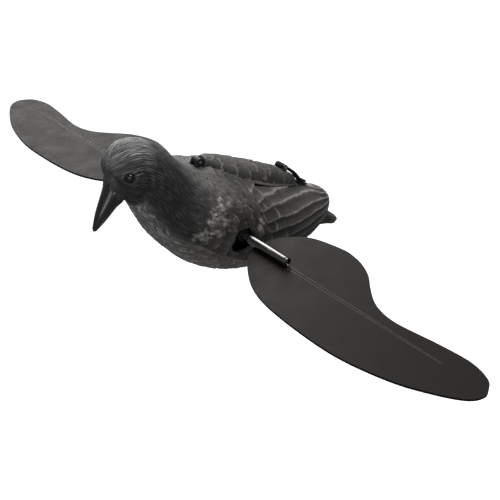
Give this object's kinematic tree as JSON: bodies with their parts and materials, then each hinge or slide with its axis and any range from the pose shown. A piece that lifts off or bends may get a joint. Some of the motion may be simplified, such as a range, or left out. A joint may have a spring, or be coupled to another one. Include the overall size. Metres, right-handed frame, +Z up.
{
  "type": "motion wing decoy",
  "caption": "Stake-mounted crow decoy: hollow moulded bird whose flat wings spin on a battery-driven cross axle, with a hinged and latched battery lid on its back.",
  "frame": {"origin": "centre of the stake socket's mouth, under the belly", "axes": "+Z up, -Y towards the bill, +X towards the bird's left wing tip; the wings lie level at rest"},
  "size_m": [0.711, 0.323, 0.1969],
  "materials": {
    "plumage": "matt dark grey-brown moulded plumage with dry-brushed paler feather edges",
    "bill": "glossy blue-black paint",
    "eye": "high-gloss black bead",
    "black_plastic": "satin black moulded plastic",
    "rubber": "matt black rubber",
    "wing_sheet": "matt brown-grey fluted plastic sheet",
    "bright_steel": "bright drawn steel",
    "dark_steel": "dark nickel-plated steel",
    "motor_steel": "zinc-plated steel can",
    "tray_plastic": "black moulded plastic",
    "cell_wrap": "plain green battery wrap with steel ends",
    "red_wire": "red wire insulation",
    "black_wire": "black wire insulation"
  },
  "bodies": {
    "decoy_body": {"body_shell_left": "plumage", "body_shell_right": "plumage", "bill": "bill", "eye_left": "eye", "eye_right": "eye", "shell_screw_1": "dark_steel", "shell_screw_2": "dark_steel", "shell_screw_3": "dark_steel", "shell_screw_4": "dark_steel", "stake_socket": "black_plastic", "switch_housing": "black_plastic", "battery_tray": "tray_plastic", "battery_cell_1": "cell_wrap", "battery_cell_2": "cell_wrap", "battery_cell_3": "cell_wrap", "battery_cell_4": "cell_wrap", "battery_contact_front": "bright_steel", "battery_contact_rear": "bright_steel", "wire_battery_to_switch": "red_wire", "wire_switch_to_motor": "red_wire", "wire_battery_to_motor": "black_wire", "motor_case": "motor_steel", "motor_end_cap_left": "black_plastic", "motor_end_cap_right": "black_plastic", "motor_cradle": "black_plastic", "motor_strap": "bright_steel", "motor_strap_screw_1": "dark_steel", "motor_strap_screw_2": "dark_steel", "axle_grommet_left": "rubber", "axle_grommet_right": "rubber", "hinge_bracket": "black_plastic", "hinge_pin": "bright_steel", "latch_anchor": "black_plastic", "latch_anchor_screw": "dark_steel"},
    "drive_axle": {"wing_axle": "bright_steel", "axle_collar_left": "dark_steel", "axle_collar_right": "dark_steel"},
    "left_wing": {"left_wing_blade": "wing_sheet", "left_wing_tube": "dark_steel", "left_wing_spar": "dark_steel", "left_wing_rivet_1": "dark_steel", "left_wing_rivet_2": "dark_steel"},
    "right_wing": {"right_wing_blade": "wing_sheet", "right_wing_tube": "dark_steel", "right_wing_spar": "dark_steel", "right_wing_rivet_1": "dark_steel", "right_wing_rivet_2": "dark_steel"},
    "lid": {"battery_lid": "plumage", "latch_pin": "bright_steel"},
    "latch": {"latch_strap": "rubber"},
    "switch": {"switch_rocker": "black_plastic"}
  },
  "joints": [
    {"name": "wing_spin", "type": "hinge", "parent": "decoy_body", "child": "drive_axle", "pos_m": [0, -0.05, 0.085], "axis": [1, 0, 0], "continuous": true},
    {"name": "left_wing_pull", "type": "slide", "parent": "drive_axle", "child": "left_wing", "axis": [1, 0, 0], "range_m": [0, 0.06]},
    {"name": "right_wing_pull", "type": "slide", "parent": "drive_axle", "child": "right_wing", "axis": [-1, 0, 0], "range_m": [0, 0.06]},
    {"name": "lid_hinge", "type": "hinge", "parent": "decoy_body", "child": "lid", "pos_m": [0, -0.052, 0.14], "axis": [1, 0, 0], "range_deg": [0, 105]},
    {"name": "latch_pivot", "type": "hinge", "parent": "lid", "child": "latch", "pos_m": [0, 0.06475, 0.09072], "axis": [1, 0, 0], "range_deg": [0, 110]},
    {"name": "power_switch", "type": "hinge", "parent": "decoy_body", "child": "switch", "pos_m": [0, 0.036, 0.0026], "axis": [1, 0, 0], "range_deg": [0, 20]}
  ]
}
